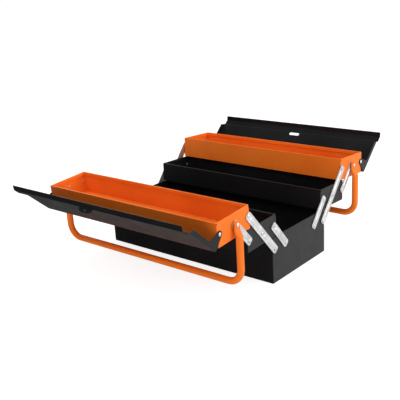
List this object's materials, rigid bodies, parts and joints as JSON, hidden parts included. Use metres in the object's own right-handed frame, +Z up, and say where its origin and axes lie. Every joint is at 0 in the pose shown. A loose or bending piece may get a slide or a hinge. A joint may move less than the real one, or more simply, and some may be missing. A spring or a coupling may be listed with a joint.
{
  "type": "cantilever toolbox",
  "caption": "Open steel cantilever toolbox: black base and middle trays, orange upper trays, zinc links, hinged black lids and orange tubular handles.",
  "frame": {"origin": "centre of the base underside", "axes": "+X along the box to the right as seen from the front, +Y from the front wing to the back wing, +Z up"},
  "size_m": [0.5108, 0.7578, 0.2205],
  "materials": {
    "orange_paint": "satin powder coat",
    "black_paint": "satin powder coat",
    "lid_black": "semi-gloss powder coat",
    "zinc_link": "zinc plated",
    "rivet_steel": "zinc plated"
  },
  "bodies": {
    "base": {"base_shell": "black_paint", "base_end_left": "black_paint", "base_end_right": "black_paint", "front_base_long_rivets": "rivet_steel", "front_base_lower_rivets": "rivet_steel", "back_base_long_rivets": "rivet_steel", "back_base_lower_rivets": "rivet_steel"},
    "front_long_links": {"front_long_link_left": "zinc_link", "front_long_link_right": "zinc_link"},
    "front_lower_links": {"front_lower_link_left": "zinc_link", "front_lower_link_right": "zinc_link"},
    "front_middle_tray": {"front_middle_shell": "black_paint", "front_middle_end_left": "black_paint", "front_middle_end_right": "black_paint", "front_middle_long_rivets": "rivet_steel", "front_middle_high_rivets": "rivet_steel", "front_middle_low_rivets": "rivet_steel"},
    "front_upper_links": {"front_upper_link_left": "zinc_link", "front_upper_link_right": "zinc_link"},
    "front_upper_tray": {"front_upper_shell": "orange_paint", "front_upper_end_left": "orange_paint", "front_upper_end_right": "orange_paint", "front_upper_long_rivets": "rivet_steel", "front_handle_rivets": "rivet_steel", "front_hinge_rivets": "rivet_steel"},
    "front_lid": {"front_lid_panel": "lid_black", "front_lid_flange_left": "lid_black", "front_lid_flange_right": "lid_black", "padlock_lug": "lid_black"},
    "front_handle": {"front_handle_tube": "orange_paint", "front_handle_eye_left": "orange_paint", "front_handle_eye_right": "orange_paint"},
    "back_long_links": {"back_long_link_left": "zinc_link", "back_long_link_right": "zinc_link"},
    "back_lower_links": {"back_lower_link_left": "zinc_link", "back_lower_link_right": "zinc_link"},
    "back_middle_tray": {"back_middle_shell": "black_paint", "back_middle_end_left": "black_paint", "back_middle_end_right": "black_paint", "back_middle_long_rivets": "rivet_steel", "back_middle_high_rivets": "rivet_steel", "back_middle_low_rivets": "rivet_steel"},
    "back_upper_links": {"back_upper_link_left": "zinc_link", "back_upper_link_right": "zinc_link"},
    "back_upper_tray": {"back_upper_shell": "orange_paint", "back_upper_end_left": "orange_paint", "back_upper_end_right": "orange_paint", "back_upper_long_rivets": "rivet_steel", "back_handle_rivets": "rivet_steel", "back_hinge_rivets": "rivet_steel"},
    "back_lid": {"back_lid_panel": "lid_black", "back_lid_flange_left": "lid_black", "back_lid_flange_right": "lid_black"},
    "back_handle": {"back_handle_tube": "orange_paint", "back_handle_eye_left": "orange_paint", "back_handle_eye_right": "orange_paint"}
  },
  "joints": [
    {"name": "front_fold", "type": "hinge", "parent": "base", "child": "front_long_links", "pos_m": [0, -0.0962, 0.0762], "axis": [-1, 0, 0], "range_deg": [0, 79.6]},
    {"name": "front_lower_link_turn", "type": "hinge", "parent": "base", "child": "front_lower_links", "pos_m": [0, -0.057, 0.0772], "axis": [-1, 0, 0], "range_deg": [-0.01, 79.53]},
    {"name": "front_middle_tray_turn", "type": "hinge", "parent": "front_long_links", "child": "front_middle_tray", "pos_m": [0, -0.13989, 0.12646], "axis": [-1, 0, 0], "range_deg": [-77.31, 0.01]},
    {"name": "front_upper_link_turn", "type": "hinge", "parent": "front_middle_tray", "child": "front_upper_links", "pos_m": [0, -0.18316, 0.12483], "axis": [-1, 0, 0], "range_deg": [-0.01, 77.29]},
    {"name": "front_upper_tray_turn", "type": "hinge", "parent": "front_long_links", "child": "front_upper_tray", "pos_m": [0, -0.18359, 0.17673], "axis": [-1, 0, 0], "range_deg": [-75.91, 0.01]},
    {"name": "front_lid_turn", "type": "hinge", "parent": "front_upper_tray", "child": "front_lid", "pos_m": [0, -0.27395, 0.17008], "axis": [-1, 0, 0], "range_deg": [-0.01, 134.01]},
    {"name": "front_handle_turn", "type": "hinge", "parent": "front_upper_tray", "child": "front_handle", "pos_m": [0, -0.22738, 0.17463], "axis": [-1, 0, 0], "range_deg": [-0.01, 199.86]},
    {"name": "back_fold", "type": "hinge", "parent": "base", "child": "back_long_links", "pos_m": [0, 0.0962, 0.0762], "axis": [1, 0, 0], "range_deg": [0, 79.6]},
    {"name": "back_lower_link_turn", "type": "hinge", "parent": "base", "child": "back_lower_links", "pos_m": [0, 0.057, 0.0772], "axis": [1, 0, 0], "range_deg": [-0.01, 79.53]},
    {"name": "back_middle_tray_turn", "type": "hinge", "parent": "back_long_links", "child": "back_middle_tray", "pos_m": [0, 0.13989, 0.12646], "axis": [1, 0, 0], "range_deg": [-77.31, 0.01]},
    {"name": "back_upper_link_turn", "type": "hinge", "parent": "back_middle_tray", "child": "back_upper_links", "pos_m": [0, 0.18316, 0.12483], "axis": [1, 0, 0], "range_deg": [-0.01, 77.29]},
    {"name": "back_upper_tray_turn", "type": "hinge", "parent": "back_long_links", "child": "back_upper_tray", "pos_m": [0, 0.18359, 0.17673], "axis": [1, 0, 0], "range_deg": [-75.91, 0.01]},
    {"name": "back_lid_turn", "type": "hinge", "parent": "back_upper_tray", "child": "back_lid", "pos_m": [0, 0.27395, 0.17008], "axis": [1, 0, 0], "range_deg": [-0.01, 129.31]},
    {"name": "back_handle_turn", "type": "hinge", "parent": "back_upper_tray", "child": "back_handle", "pos_m": [0, 0.22738, 0.17463], "axis": [1, 0, 0], "range_deg": [-0.01, 199.86]}
  ],
  "couplings": [
    {"joint": "front_lower_link_turn", "follows": "front_fold", "ratio": 0.99899},
    {"joint": "front_middle_tray_turn", "follows": "front_fold", "ratio": -0.97111},
    {"joint": "front_upper_link_turn", "follows": "front_fold", "ratio": 0.97085},
    {"joint": "front_upper_tray_turn", "follows": "front_fold", "ratio": -0.95352},
    {"joint": "front_lid_turn", "follows": "front_fold", "ratio": 1.6834},
    {"joint": "front_handle_turn", "follows": "front_fold", "ratio": 2.5106},
    {"joint": "back_lower_link_turn", "follows": "back_fold", "ratio": 0.99899},
    {"joint": "back_middle_tray_turn", "follows": "back_fold", "ratio": -0.97111},
    {"joint": "back_upper_link_turn", "follows": "back_fold", "ratio": 0.97085},
    {"joint": "back_upper_tray_turn", "follows": "back_fold", "ratio": -0.95352},
    {"joint": "back_lid_turn", "follows": "back_fold", "ratio": 1.6244},
    {"joint": "back_handle_turn", "follows": "back_fold", "ratio": 2.5106}
  ]
}
